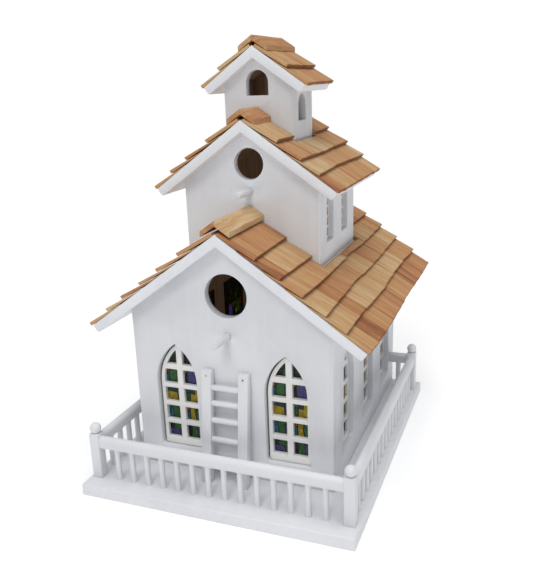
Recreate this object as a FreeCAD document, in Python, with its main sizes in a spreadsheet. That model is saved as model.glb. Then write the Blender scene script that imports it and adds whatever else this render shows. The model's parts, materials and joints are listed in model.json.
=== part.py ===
import FreeCAD, Part
import math
import os

import Sketcher

# Three-tier wooden chapel birdhouse: hall, tower and belfry, each a gabled box with a shingled
# roof, standing on a railed base board. Millimetres, +Z up, +Y to the back, the entrance side
# faces -Y. The origin is the middle of the base board's underside.

SIZES = [
    # the base board and the railing round it
    ("base_width", 290), ("base_depth", 354), ("base_thick", 12), ("base_round", 1.5),
    ("post_half", 5.4), ("post_top", 62), ("post_at_x", 135.6), ("post_at_y", 155.3),
    ("ball_radius", 5.9), ("ball_middle", 67.4),
    ("rail_low", 47), ("rail_spring", 54.5), ("rail_half", 4.5),
    ("baluster_radius", 3), ("front_baluster_pitch", 17.2), ("side_baluster_pitch", 17.5),
    # the walls and roofs of the three tiers
    ("roof_slope", 35.2), ("wall", 9), ("roof_board", 9.5),
    ("hall_width", 214), ("hall_front", -111.5), ("hall_rear", 177), ("hall_apex", 271.6),
    ("hall_rafter", 176), ("hall_eave_front", -129), ("hall_eave_rear", 196),
    ("tower_width", 146), ("tower_front", -40.5), ("tower_rear", 97), ("tower_apex", 369.2),
    ("tower_rafter", 118.5), ("tower_eave_front", -58), ("tower_eave_rear", 114.5),
    ("belfry_width", 73), ("belfry_front", -9.7), ("belfry_rear", 58.3), ("belfry_apex", 438.4),
    ("belfry_rafter", 66.7), ("belfry_eave_front", -21), ("belfry_eave_rear", 69.3),
    ("chamber_floor", 283), ("floor_thick", 6),
    # the shingles and ridge caps
    ("shingle_butt", 5), ("shingle_lap", 6), ("shingle_gap", 0.6), ("shingle_thin_end", 0.6),
    ("ridge_shingle_thick", 3.5), ("ridge_shingle_start", 2), ("tuck_gap", 0.4), ("tuck_least", 3),
    ("hall_first_butt", 44), ("hall_course", 26.5), ("tower_first_butt", 43.5),
    ("tower_course", 25.4), ("belfry_first_butt", 42.5), ("belfry_course", 26),
    ("cap_width", 15), ("cap_thick", 4),
    # entrances and perches
    ("hall_entry_radius", 22.2), ("hall_entry_up", 207.3), ("tower_entry_radius", 15.9),
    ("tower_entry_up", 325.2), ("perch_radius", 3.5), ("perch_bore_radius", 3.55),
    ("perch_reach", 31), ("hall_perch_up", 166.5), ("tower_perch_up", 298),
    # pointed windows; heights count from the sill
    ("window_half", 23.5), ("window_spring", 73.8), ("window_rise", 43.5), ("window_fit", 0.3),
    ("window_margin", 4.3), ("mullion_half", 3.25), ("pane_first", 7.8), ("pane_pitch", 21),
    ("pane_tall", 16.2), ("peak_pane_low", 93), ("lattice_thick", 3.2), ("front_lattice_thick", 5),
    ("glass_thick", 1.5), ("glass_lap", 5),
    ("front_window_x", 60), ("hall_sill", 34.2), ("side_window_mid", 32.75),
    ("side_window_pitch", 88.5),
    ("tower_window_scale", 0.515), ("tower_sill", 241.5), ("tower_window_mid", 28.25),
    ("tower_window_pitch", 56.5), ("tower_lattice_thick", 2.4), ("tower_lattice_back", 1.9),
    ("arch_half", 12), ("front_arch_sill", 390.5), ("front_arch_straight", 13),
    ("side_arch_sill", 364), ("side_arch_straight", 15), ("arch_mid", 24.3),
    # the ladder that leans on the front wall
    ("ladder_middle", -2), ("ladder_half_gauge", 20), ("stile_wide", 10.5), ("stile_thick", 8),
    ("ladder_top", 130), ("ladder_lean", 7), ("ladder_gap", 0.2), ("rung_radius", 3),
    ("nail_radius", 1.1), ("nail_proud", 0.5), ("nail_drop", 4.6),
    # the clean-out door in the hall's rear wall, its hinges and its turn button
    ("door_half", 45), ("door_sill", 32), ("door_tall", 90), ("door_gap", 1.5),
    ("hinge_low", 44), ("hinge_tall", 24), ("hinge_spacing", 42), ("leaf_wide", 12),
    ("leaf_thick", 1.2), ("knuckle_radius", 2.2), ("hinge_pin_radius", 0.95),
    ("hinge_bore_radius", 1), ("axis_stand_off", 2.6), ("knuckle_gap", 0.3),
    ("web_stand_off", 0.4), ("web_lap", 0.5),
    ("knob_radius", 6.5), ("knob_reach", 15), ("knob_neck", 3), ("knob_in", 15),
    ("button_long", 34), ("button_wide", 9), ("button_thick", 4), ("button_clear", 0.6),
    ("button_screw_radius", 1.5), ("button_bore_radius", 1.56), ("button_out", 11),
    ("screw_head_gap", 0.3),
    # the tower's pear-shaped clean-out cover, which swings on one screw
    ("cover_hole_radius", 14), ("cover_hole_up", 322), ("cover_pivot_up", 294),
    ("cover_big", 19), ("cover_small", 7), ("cover_thick", 4),
]
RUNG_HEIGHTS = [38, 58.3, 78.5, 96.3, 112.4]
COURSE_SHIFTS = [-0.2, 0.25]
FRONT_BALUSTERS = 14
SIDE_BALUSTERS = 16
COURSES = {"hall": 6, "tower": 4, "belfry": 2}
CARRIES = {"hall": "tower", "tower": "belfry"}
STANDS_ON = {"tower": "hall", "belfry": "tower"}
SHINGLE_WIDTH = 42

doc = FreeCAD.newDocument("ChapelBirdhouse")
sheet = doc.addObject("Spreadsheet::Sheet", "Sizes")
for row, (alias, value) in enumerate(SIZES, start=1):
    sheet.set(f"A{row}", alias)
    sheet.set(f"B{row}", str(value))
    sheet.setAlias(f"B{row}", alias)
doc.recompute()

NODES = []


def size(alias):
    """The number in one cell of the sheet."""
    return float(sheet.get(alias))


def bound(text):
    """An expression in which every sheet alias carries the sheet's name."""
    out = ""
    word = ""
    for letter in text + " ":
        if letter.isalnum() or letter == "_":
            word += letter
            continue
        out += f"Sizes.{word}" if word in ALIASES else word
        out += letter
        word = ""
    return out.strip()


ALIASES = {alias for alias, _ in SIZES}


def number(text):
    """The value of an expression now."""
    return float(sheet.evalExpression(bound(text).replace("Sizes.", "")))


def node(thing):
    """Marks a document object as a sub-part, written to a file of its own."""
    thing.Label = thing.Name
    NODES.append(thing)
    return thing


# ---------------------------------------------------------------- sketches and pads


def add_loop(sketch, corners):
    """A closed outline. A corner is (x, y) or (x, y, centre height) where an arc leaves it."""
    first = sketch.GeometryCount
    count = len(corners)
    points = [FreeCAD.Vector(number(c[0]), number(c[1]), 0) for c in corners]
    for i, corner in enumerate(corners):
        start, end = points[i], points[(i + 1) % count]
        if len(corner) == 2:
            sketch.addGeometry(Part.LineSegment(start, end), False)
            continue
        level = number(corner[2])
        middle = (start + end) / 2
        along = end - start
        if abs(start.y - level) < 1e-6 and abs(end.y - level) < 1e-6:
            centre = FreeCAD.Vector(middle.x, level, 0)
        else:
            centre = FreeCAD.Vector(middle.x - along.y * (level - middle.y) / along.x, level, 0)
        circle = Part.Circle(centre, FreeCAD.Vector(0, 0, 1), (start - centre).Length)
        angles = [math.atan2(p.y - centre.y, p.x - centre.x) for p in (start, end)]
        sketch.addGeometry(Part.ArcOfCircle(circle, *angles), False)
    for i, corner in enumerate(corners):
        here, after = first + i, first + (i + 1) % count
        sketch.addConstraint(Sketcher.Constraint("Coincident", here, 2, after, 1))
        pin(sketch, here, 1, corner[0], corner[1])
        if len(corner) == 3:
            pin(sketch, here, 3, None, corner[2])


def pin(sketch, part, spot, x, y):
    """Holds one point of a sketch at two expressions, counted from the sketch's origin."""
    for kind, axis, text in (("DistanceX", -2, x), ("DistanceY", -1, y)):
        if text is None:
            continue
        if text == "0":
            sketch.addConstraint(Sketcher.Constraint("PointOnObject", part, spot, axis))
            continue
        index = sketch.addConstraint(
            Sketcher.Constraint(kind, -1, 1, part, spot, number(text)))
        sketch.setExpression(f"Constraints[{index}]", bound(text))


def add_circle(sketch, x, y, radius):
    """A round hole or disc in a sketch."""
    centre = FreeCAD.Vector(number(x), number(y), 0)
    circle = Part.Circle(centre, FreeCAD.Vector(0, 0, 1), number(radius))
    part = sketch.addGeometry(circle, False)
    pin(sketch, part, 3, x, y)
    index = sketch.addConstraint(Sketcher.Constraint("Radius", part, number(radius)))
    sketch.setExpression(f"Constraints[{index}]", bound(radius))


def new_sketch(body, plane, offset, loops, circles=()):
    """A sketch on one of the body's origin planes, moved off it along its normal."""
    sketch = body.newObject("Sketcher::SketchObject", body.Name + "_sketch")
    face = next(f for f in body.Origin.OriginFeatures if f.Role == plane)
    sketch.AttachmentSupport = [(face, "")]
    sketch.MapMode = "FlatFace"
    sketch.setExpression("AttachmentOffset.Base.z", bound(offset))
    for loop in loops:
        add_loop(sketch, loop)
    for circle in circles:
        add_circle(sketch, *circle)
    return sketch


def padded(name, plane, offset, thick, loops, circles=()):
    """A body made of one padded sketch."""
    body = doc.addObject("PartDesign::Body", name)
    sketch = new_sketch(body, plane, offset, loops, circles)
    pad = body.newObject("PartDesign::Pad", name + "_pad")
    pad.Profile = sketch
    pad.setExpression("Length", bound(thick))
    return body


def across(name, y_low, y_high, loops, circles=()):
    """An outline in X and Z, padded from y_low to y_high."""
    return padded(name, "XZ_Plane", f"-({y_high})", f"({y_high}) - ({y_low})", loops, circles)


def sideways(name, x_low, x_high, loops, circles=()):
    """An outline in Y and Z, padded from x_low to x_high."""
    return padded(name, "YZ_Plane", x_low, f"({x_high}) - ({x_low})", loops, circles)


def cut_sideways(body, x_high, depth, loops):
    """Openings cut through a body along X, from just outside x_high inwards."""
    before = body.Tip
    sketch = new_sketch(body, "YZ_Plane", x_high, loops)
    pocket = body.newObject("PartDesign::Pocket", body.Name + "_openings")
    pocket.Profile = sketch
    pocket.setExpression("Length", bound(depth))
    doc.recompute()
    if pocket.Shape.Volume >= before.Shape.Volume - 1:
        raise RuntimeError(f"{body.Name}: the pocket removed nothing")


def rectangle(x0, y0, x1, y1):
    """The four corners of a rectangle, counter-clockwise."""
    return [(x0, y0), (x1, y0), (x1, y1), (x0, y1)]


def group(name, pieces):
    """Separate solids that share one file."""
    compound = doc.addObject("Part::Compound", name)
    compound.Links = pieces
    return node(compound)


def primitive(kind, name, bindings):
    """A Part primitive with its sizes and place bound to the sheet."""
    shape = doc.addObject(f"Part::{kind}", name)
    for key, text in bindings.items():
        shape.setExpression(key, bound(text))
    return shape


def place(x, y, z):
    """Placement bindings for a primitive."""
    return {"Placement.Base.x": x, "Placement.Base.y": y, "Placement.Base.z": z}


def turned(shape, axis, degrees):
    """Turns a primitive about its own base point."""
    shape.Placement.Rotation = FreeCAD.Rotation(FreeCAD.Vector(*axis), degrees)
    return shape


# ---------------------------------------------------------------- outlines


def pointed(middle, sill, half, spring, rise):
    """A pointed window's outline."""
    return [
        (f"{middle} - ({half})", sill),
        (f"{middle} + {half}", sill),
        (f"{middle} + {half}", f"{sill} + {spring}", f"{sill} + {spring}"),
        (middle, f"{sill} + {spring} + {rise}", f"{sill} + {spring}"),
        (f"{middle} - ({half})", f"{sill} + {spring}"),
    ]


def round_topped(middle, sill, half, straight):
    """A belfry arch's outline."""
    return [
        (f"{middle} - {half}", sill),
        (f"{middle} + {half}", sill),
        (f"{middle} + {half}", f"{sill} + {straight}", f"{sill} + {straight}"),
        (f"{middle} - {half}", f"{sill} + {straight}"),
    ]


def window_opening(middle, sill, scale):
    """The opening that a pointed window fills."""
    return pointed(middle, sill, f"{scale} * window_half", f"{scale} * window_spring",
                   f"{scale} * window_rise")


ARC_RADIUS = "((window_half^2 + window_rise^2) / (2 * window_half))"


def arch_half_width(height):
    """Half the width between a lattice's inner edges, at a height above the spring line."""
    return (f"(sqrt(({ARC_RADIUS} - window_margin)^2 - ({height})^2)"
            f" - {ARC_RADIUS} + window_half)")


def lattice_panes(middle, sill, scale):
    """The panes of a lattice: two columns of four, and two under the point."""
    loops = []
    edge = "(window_half - window_margin)"
    for row in range(3):
        low = f"(pane_first + {row} * pane_pitch)"
        high = f"({low} + pane_tall)"
        for side in (-1, 1):
            inner, outer = "mullion_half", edge
            if side < 0:
                inner, outer = f"-{edge}", "-mullion_half"
            loops.append(rectangle(
                f"{middle} + {scale} * ({inner})", f"{sill} + {scale} * {low}",
                f"{middle} + {scale} * ({outer})", f"{sill} + {scale} * {high}"))
    spring = f"{sill} + {scale} * window_spring"
    low = "(pane_first + 3 * pane_pitch)"
    high = f"({low} + pane_tall)"
    wide_low = arch_half_width(f"{low} - window_spring")
    wide_high = arch_half_width(f"{high} - window_spring")
    peak_low = "peak_pane_low"
    wide_peak = arch_half_width(f"{peak_low} - window_spring")
    rise = (f"sqrt(({ARC_RADIUS} - window_margin)^2"
            f" - ({ARC_RADIUS} - window_half + mullion_half)^2)")
    peak_high = f"(window_spring + {rise})"
    for side in ("", "-"):
        def at(x, up):
            return (f"{middle} + {scale} * ({side}{x})", f"{sill} + {scale} * {up}")
        fourth = [at("mullion_half", low), at(wide_low, low) + (spring,),
                  at(wide_high, high), at("mullion_half", high)]
        top = [at("mullion_half", peak_low), at(wide_peak, peak_low) + (spring,),
               at("mullion_half", peak_high)]
        if side:
            fourth = [at("mullion_half", high), at(wide_high, high) + (spring,),
                      at(wide_low, low), at("mullion_half", low)]
            top = [at("mullion_half", peak_high) + (spring,), at(wide_peak, peak_low),
                   at("mullion_half", peak_low)]
        loops += [fourth, top]
    return loops


def lattice_loops(middle, sill, scale):
    """A whole lattice: its outline, a shade smaller than the opening, and its panes."""
    outline = pointed(middle, f"{sill} + window_fit", f"({scale} * window_half - window_fit)",
                      f"({scale} * window_spring - window_fit)",
                      f"({scale} * window_rise - window_fit)")
    return [outline] + lattice_panes(middle, sill, scale)


def roof_up(tier, x):
    """Height of a roof board's upper face at a distance x from the ridge."""
    return f"{tier}_apex - ({x}) * tan(roof_slope)"


def soffit_up(tier, x):
    """Height of a roof board's underside at a distance x from the ridge."""
    return f"{tier}_apex - roof_board / cos(roof_slope) - ({x}) * tan(roof_slope)"


def gable_loop(tier):
    """A gable wall. The tower's and the belfry's sit astride the ridge below."""
    half = f"{tier}_width / 2"
    below = STANDS_ON.get(tier)
    top = [(half, soffit_up(tier, half)), ("0", soffit_up(tier, "0")),
           (f"-{half}", soffit_up(tier, half))]
    if below is None:
        return [(f"-{half}", "base_thick"), (half, "base_thick")] + top
    return [(f"-{half}", roof_up(below, half)), ("0", f"{below}_apex"),
            (half, roof_up(below, half))] + top


# ---------------------------------------------------------------- base and railing


def base_board():
    """A flat board with softened edges, the face that the birdhouse stands on."""
    body = padded("base_board", "XY_Plane", "0", "base_thick",
                  [rectangle("-base_width / 2", "-base_depth / 2",
                             "base_width / 2", "base_depth / 2")])
    doc.recompute()
    pad = body.Tip
    edges = [f"Edge{i + 1}" for i, edge in enumerate(pad.Shape.Edges)
             if edge.BoundBox.ZMax > size("base_thick") - 0.01]
    fillet = body.newObject("PartDesign::Fillet", "base_board_fillet")
    fillet.Base = (pad, edges)
    fillet.setExpression("Radius", bound("base_round"))
    node(body)


def corner_posts():
    """Four square posts, each with a ball that stands on its top."""
    posts = []
    balls = []
    for x_sign in ("-", ""):
        for y_sign in ("-", ""):
            name = f"post_{len(posts)}"
            sizes = {"Length": "2 * post_half", "Width": "2 * post_half",
                     "Height": "post_top - base_thick"}
            spot = place(f"{x_sign}post_at_x - post_half", f"{y_sign}post_at_y - post_half",
                         "base_thick")
            posts.append(primitive("Box", name, {**sizes, **spot}))
            ball = {"Radius": "ball_radius",
                    "Angle1": "-asin((ball_middle - post_top) / ball_radius)"}
            spot = place(f"{x_sign}post_at_x", f"{y_sign}post_at_y", "ball_middle")
            balls.append(primitive("Sphere", f"ball_{len(balls)}", {**ball, **spot}))
    group("railing_posts", posts)
    group("post_balls", balls)


def rail_section(middle):
    """A handrail's section: flat below, rounded on top."""
    return [(f"{middle} - rail_half", "rail_low"), (f"{middle} + rail_half", "rail_low"),
            (f"{middle} + rail_half", "rail_spring", "rail_spring"),
            (f"{middle} - rail_half", "rail_spring")]


def handrails():
    """Rails between the posts, and two short ones from the rear posts to the hall."""
    front = sideways("rail_front", "-post_at_x + post_half", "post_at_x - post_half",
                     [rail_section("-post_at_y")])
    node(front)
    returns = []
    for side, sign in (("left", "-"), ("right", "")):
        rail = across(f"rail_{side}", "-post_at_y + post_half", "post_at_y - post_half",
                      [rail_section(f"{sign}post_at_x")])
        node(rail)
        ends = ["hall_width / 2", "post_at_x - post_half"]
        if sign:
            ends = ["-post_at_x + post_half", "-hall_width / 2"]
        returns.append(sideways(f"rail_rear_{side}", *ends, [rail_section("post_at_y")]))
    group("rails_rear", returns)


def baluster(name, x, y):
    """One dowel between the base board and a rail."""
    sizes = {"Radius": "baluster_radius", "Height": "rail_low - base_thick"}
    return primitive("Cylinder", name, {**sizes, **place(x, y, "base_thick")})


def balusters():
    """The dowels under each rail, evenly spaced about its middle."""
    row = []
    for i in range(FRONT_BALUSTERS):
        step = i - (FRONT_BALUSTERS - 1) / 2
        row.append(baluster(f"front_dowel_{i}", f"{step} * front_baluster_pitch", "-post_at_y"))
    group("balusters_front", row)
    for side, sign in (("left", "-"), ("right", "")):
        row = []
        for i in range(SIDE_BALUSTERS):
            step = i - (SIDE_BALUSTERS - 1) / 2
            row.append(baluster(f"{side}_dowel_{i}", f"{sign}post_at_x",
                                f"{step} * side_baluster_pitch"))
        middle = f"{sign}(post_at_x - post_half + hall_width / 2) / 2"
        row.append(baluster(f"{side}_dowel_rear", middle, "post_at_y"))
        group(f"balusters_{side}", row)


# ---------------------------------------------------------------- walls


def gable_walls():
    """Front and rear walls of the three tiers, with their entrances and openings."""
    entry = [("0", "hall_entry_up", "hall_entry_radius"),
             ("0", "hall_perch_up", "perch_bore_radius")]
    windows = [window_opening("-front_window_x", "hall_sill", "1"),
               window_opening("front_window_x", "hall_sill", "1")]
    node(across("hall_front_wall", "hall_front", "hall_front + wall",
                [gable_loop("hall")] + windows, entry))
    doorway = rectangle("-door_half", "door_sill", "door_half", "door_sill + door_tall")
    node(across("hall_rear_wall", "hall_rear - wall", "hall_rear",
                [gable_loop("hall"), doorway]))
    entry = [("0", "tower_entry_up", "tower_entry_radius"),
             ("0", "tower_perch_up", "perch_bore_radius")]
    node(across("tower_front_wall", "tower_front", "tower_front + wall",
                [gable_loop("tower")], entry))
    hole = [("0", "cover_hole_up", "cover_hole_radius")]
    node(across("tower_rear_wall", "tower_rear - wall", "tower_rear",
                [gable_loop("tower")], hole))
    arch = round_topped("0", "front_arch_sill", "arch_half", "front_arch_straight")
    node(across("belfry_front_wall", "belfry_front", "belfry_front + wall",
                [gable_loop("belfry"), arch]))
    node(across("belfry_rear_wall", "belfry_rear - wall", "belfry_rear",
                [gable_loop("belfry")]))


def side_openings(tier):
    """The windows or the arch in a tier's side wall."""
    if tier == "hall":
        return [window_opening(f"side_window_mid + {i} * side_window_pitch", "hall_sill", "1")
                for i in (-1, 0, 1)]
    if tier == "tower":
        return [window_opening(f"tower_window_mid + {i} * tower_window_pitch", "tower_sill",
                               "tower_window_scale") for i in (-0.5, 0.5)]
    return [round_topped("arch_mid", "side_arch_sill", "arch_half", "side_arch_straight")]


def side_walls():
    """Side walls between the gables, bevelled to the roof above and the roof below."""
    for tier in ("hall", "tower", "belfry"):
        outer = f"{tier}_width / 2"
        inner = f"{tier}_width / 2 - wall"
        below = STANDS_ON.get(tier)
        foot = [roof_up(below, x) if below else "base_thick" for x in (inner, outer)]
        right = [(inner, foot[0]), (outer, foot[1]), (outer, soffit_up(tier, outer)),
                 (inner, soffit_up(tier, inner))]
        left = [(f"-({x})", z) for x, z in reversed(right)]
        for side, loop, start in (("left", left, f"-({inner}) + wall"),
                                  ("right", right, f"{outer} + wall")):
            body = across(f"{tier}_{side}_wall", f"{tier}_front + wall",
                          f"{tier}_rear - wall", [loop])
            cut_sideways(body, start, "3 * wall", side_openings(tier))
            node(body)


def tower_floor():
    """The nest floor inside the tower, over the hall's ridge."""
    body = padded("tower_floor", "XY_Plane", "chamber_floor", "floor_thick",
                  [rectangle("-tower_width / 2 + wall", "tower_front + wall",
                             "tower_width / 2 - wall", "tower_rear - wall")])
    node(body)


def roof_boards():
    """Two boards on each tier, mitred at the ridge."""
    for tier in ("hall", "tower", "belfry"):
        rafter = f"{tier}_rafter"
        tip_x = f"{rafter} * cos(roof_slope)"
        tip_z = f"{tier}_apex - {rafter} * sin(roof_slope)"
        right = [("0", soffit_up(tier, "0")),
                 (f"{tip_x} - roof_board * sin(roof_slope)",
                  f"{tip_z} - roof_board * cos(roof_slope)"),
                 (tip_x, tip_z), ("0", f"{tier}_apex")]
        left = [(x if x == "0" else f"-({x})", z) for x, z in reversed(right)]
        for side, loop in (("left", left), ("right", right)):
            node(across(f"{tier}_roof_{side}", f"{tier}_eave_front", f"{tier}_eave_rear",
                        [loop]))


# ---------------------------------------------------------------- shingles and ridge caps


def butt_lift(tier):
    """How far a shake's butt is raised by the head of the course below it."""
    return f"(shingle_thin_end + shingle_butt * shingle_lap / {tier}_course)"


def shingle(name, tier, side, span, start, length, lift, thin):
    """One tapered shake. span is its Y range, start its distance down the slope."""
    wedge = doc.addObject("Part::Wedge", name)
    width = span[1] - span[0]
    wedge.Xmin = 0
    wedge.X2min = 0
    wedge.Xmax = width
    wedge.X2max = width
    wedge.Ymin = 0
    wedge.Ymax = length
    wedge.Zmin = 0
    wedge.Zmax = thin
    wedge.Z2min = lift
    wedge.setExpression("Z2max", bound(f"{lift} + shingle_butt"))
    tilt = math.radians(size("roof_slope"))
    down = FreeCAD.Vector(side * math.cos(tilt), 0, -math.sin(tilt))
    normal = FreeCAD.Vector(side * math.sin(tilt), 0, math.cos(tilt))
    base = FreeCAD.Vector(0, span[1] if side > 0 else span[0], size(f"{tier}_apex"))
    turn = FreeCAD.Rotation(down.cross(normal), down, normal, "XYZ")
    wedge.Placement = FreeCAD.Placement(base + down * start, turn)
    return wedge


def course_spans(low, high, shift):
    """Splits a course into shakes about as wide as the stock, with a joint between them."""
    count = max(1, round((high - low) / SHINGLE_WIDTH))
    width = (high - low) / count
    joints = [low] + [low + width * (i + shift) for i in range(1, count)] + [high]
    half_gap = size("shingle_gap") / 2
    spans = []
    for i, (a, b) in enumerate(zip(joints, joints[1:])):
        spans.append((a + (half_gap if i else 0), b - (half_gap if i < count - 1 else 0)))
    return spans


def shingles():
    """Courses of shakes on every slope, stopped round the tier that stands on it."""
    lap = size("shingle_lap")
    for tier, courses in COURSES.items():
        first, pitch = size(f"{tier}_first_butt"), size(f"{tier}_course")
        low, high = size(f"{tier}_eave_front"), size(f"{tier}_eave_rear")
        above = CARRIES.get(tier)
        for side_name, side in (("left", -1), ("right", 1)):
            pieces = []
            for course in range(courses):
                butt = first + course * pitch
                start = butt - pitch - lap if course else size("ridge_shingle_start")
                lift = number(butt_lift(tier))
                thin = size("shingle_thin_end") if course else size("ridge_shingle_thick")
                blocks = [(low, high, start, thin, 0)]
                if above:
                    tuck = size("tuck_gap")
                    wall_at = size(f"{above}_width") / 2 / math.cos(
                        math.radians(size("roof_slope"))) + tuck
                    front = size(f"{above}_front") - tuck
                    rear = size(f"{above}_rear") + tuck
                    if start < wall_at:
                        blocks = [(low, front, start, thin, 0), (rear, high, start, thin, 0)]
                    if start < wall_at < butt - size("tuck_least"):
                        blocks.append((front, rear, wall_at, thin, wall_at - start))
                for a, b, begin, thickness, lost in blocks:
                    whole = butt - start
                    rise = lost / whole
                    shift = COURSE_SHIFTS[course % 2]
                    for span in course_spans(a, b, shift):
                        name = f"{tier}_{side_name}_shake_{len(pieces)}"
                        top = thickness + rise * (lift + size("shingle_butt") - thickness)
                        piece = shingle(name, tier, side, span, begin, whole - lost, lift, top)
                        piece.Zmin = rise * lift
                        pieces.append(piece)
            group(f"{tier}_shingles_{side_name}", pieces)


def cap_leaf(name, tier, side, y_low, y_high):
    """One ridge cap board, lying on the top course and meeting its twin at the ridge."""
    part = f"(cap_width - ridge_shingle_start) / ({tier}_first_butt - ridge_shingle_start)"
    grown = f"({butt_lift(tier)} + shingle_butt - ridge_shingle_thick)"
    seat = f"(ridge_shingle_thick + {part} * {grown})"
    peak = f"{tier}_apex + {seat} / cos(roof_slope)"
    foot_x = f"cap_width * cos(roof_slope) + {seat} * sin(roof_slope)"
    foot_z = f"{tier}_apex - cap_width * sin(roof_slope) + {seat} * cos(roof_slope)"
    right = [("0", peak), (foot_x, foot_z),
             (f"{foot_x} + cap_thick * sin(roof_slope)", f"{foot_z} + cap_thick * cos(roof_slope)"),
             ("0", f"{peak} + cap_thick / cos(roof_slope)")]
    loop = right
    if side < 0:
        loop = [(x if x == "0" else f"-({x})", z) for x, z in reversed(right)]
    return across(name, y_low, y_high, [loop])


def ridge_caps():
    """Pairs of boards over each ridge, in front of and behind the tier that straddles it."""
    for tier in COURSES:
        above = CARRIES.get(tier)
        runs = [(f"{tier}_eave_front", f"{tier}_eave_rear")]
        if above:
            runs = [(f"{tier}_eave_front", f"{above}_front - tuck_gap"),
                    (f"{above}_rear + tuck_gap", f"{tier}_eave_rear")]
        leaves = []
        for y_low, y_high in runs:
            for side in (-1, 1):
                name = f"{tier}_cap_leaf_{len(leaves)}"
                leaves.append(cap_leaf(name, tier, side, y_low, y_high))
        group(f"{tier}_ridge_caps", leaves)


# ---------------------------------------------------------------- windows, perches, ladder


def windows():
    """White lattices in the openings, and coloured sheets behind the hall's."""
    lattice_face = "hall_front + wall - lattice_thick"
    sheet_face = f"{lattice_face} + front_lattice_thick"
    for side, sign in (("left", "-"), ("right", "")):
        middle = f"{sign}front_window_x"
        node(across(f"front_lattice_{side}", lattice_face, sheet_face,
                    [lattice_loops(middle, "hall_sill", "1")[0]]
                    + lattice_panes(middle, "hall_sill", "1")))
    sheets = [rectangle(f"{m} - window_half - glass_lap", "hall_sill - glass_lap",
                        f"{m} + window_half + glass_lap",
                        "hall_sill + window_spring + window_rise + glass_lap")
              for m in ("-front_window_x", "front_window_x")]
    panes = [across(f"front_sheet_{i}", sheet_face, f"{sheet_face} + glass_thick", [loop])
             for i, loop in enumerate(sheets)]
    group("stained_glass_front", panes)
    tower_lattices = []
    for side, sign in (("left", -1), ("right", 1)):
        lattices = []
        panes = []
        inner = "(hall_width / 2 - wall)"
        lattice = [inner, f"{inner} + lattice_thick"]
        sheet_at = [f"{inner} - glass_thick", inner]
        if sign < 0:
            lattice = [f"-{inner} - lattice_thick", f"-{inner}"]
            sheet_at = [f"-{inner}", f"-{inner} + glass_thick"]
        for i in (-1, 0, 1):
            middle = f"(side_window_mid + {i} * side_window_pitch)"
            lattices.append(sideways(f"hall_lattice_{side}_{i + 1}", *lattice,
                                     lattice_loops(middle, "hall_sill", "1")))
            loop = rectangle(f"{middle} - window_half - glass_lap", "hall_sill - glass_lap",
                             f"{middle} + window_half + glass_lap",
                             "hall_sill + window_spring + window_rise + glass_lap")
            panes.append(sideways(f"hall_sheet_{side}_{i + 1}", *sheet_at, [loop]))
        group(f"hall_lattices_{side}", lattices)
        group(f"stained_glass_{side}", panes)
        inner = "(tower_width / 2 - wall + tower_lattice_back)"
        lattice = [inner, f"{inner} + tower_lattice_thick"]
        if sign < 0:
            lattice = [f"-{inner} - tower_lattice_thick", f"-{inner}"]
        for i in (-0.5, 0.5):
            middle = f"(tower_window_mid + {i} * tower_window_pitch)"
            loops = lattice_loops(middle, "tower_sill", "tower_window_scale")
            tower_lattices.append(
                sideways(f"tower_lattice_{len(tower_lattices)}", *lattice, loops))
    group("tower_lattices", tower_lattices)


def perches():
    """Dowel perches under the two round entrances, let through the front walls."""
    for tier in ("hall", "tower"):
        sizes = {"Radius": "perch_radius", "Height": "perch_reach + wall"}
        spot = place("0", f"{tier}_front + wall", f"{tier}_perch_up")
        node(turned(primitive("Cylinder", f"{tier}_perch", {**sizes, **spot}), (1, 0, 0), 90))


def ladder():
    """Two leaning stiles, five dowel rungs and a nail at the head of each stile."""
    tilt = math.radians(size("ladder_lean"))
    top, thick = size("ladder_top"), size("stile_thick")
    back = size("hall_front") - size("ladder_gap")
    foot = size("base_thick")
    out = (top - foot) * math.tan(tilt)
    deep = thick / math.cos(tilt)
    stiles = []
    for i, side in enumerate((-1, 1)):
        middle = size("ladder_middle") + side * size("ladder_half_gauge")
        left = middle - size("stile_wide") / 2
        corners = [(left, back, top), (left, back - deep, top),
                   (left, back - deep - out, foot), (left, back - out, foot)]
        points = [FreeCAD.Vector(*c) for c in corners]
        face = Part.Face(Part.makePolygon(points + points[:1]))
        stile = doc.addObject("Part::Feature", f"stile_{i}")
        stile.Shape = face.extrude(FreeCAD.Vector(size("stile_wide"), 0, 0))
        stiles.append(stile)
    group("ladder_stiles", stiles)
    rungs = []
    for i, up in enumerate(RUNG_HEIGHTS):
        y = back - deep / 2 - (top - up) * math.tan(tilt)
        sizes = {"Radius": "rung_radius", "Height": "2 * ladder_half_gauge - stile_wide"}
        spot = place("ladder_middle - ladder_half_gauge + stile_wide / 2", str(y), str(up))
        rungs.append(turned(primitive("Cylinder", f"rung_{i}", {**sizes, **spot}), (0, 1, 0), 90))
    group("ladder_rungs", rungs)
    nails = []
    for i, side in enumerate(("-", "+")):
        y = back - deep - size("nail_drop") * math.tan(tilt)
        sizes = {"Radius": "nail_radius", "Height": "nail_proud"}
        spot = place(f"ladder_middle {side} ladder_half_gauge", str(y), "ladder_top - nail_drop")
        nail = primitive("Cylinder", f"nail_{i}", {**sizes, **spot})
        nails.append(turned(nail, (1, 0, 0), 90 - size("ladder_lean")))
    group("ladder_nails", nails)


# ---------------------------------------------------------------- clean-out door and cover


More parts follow.
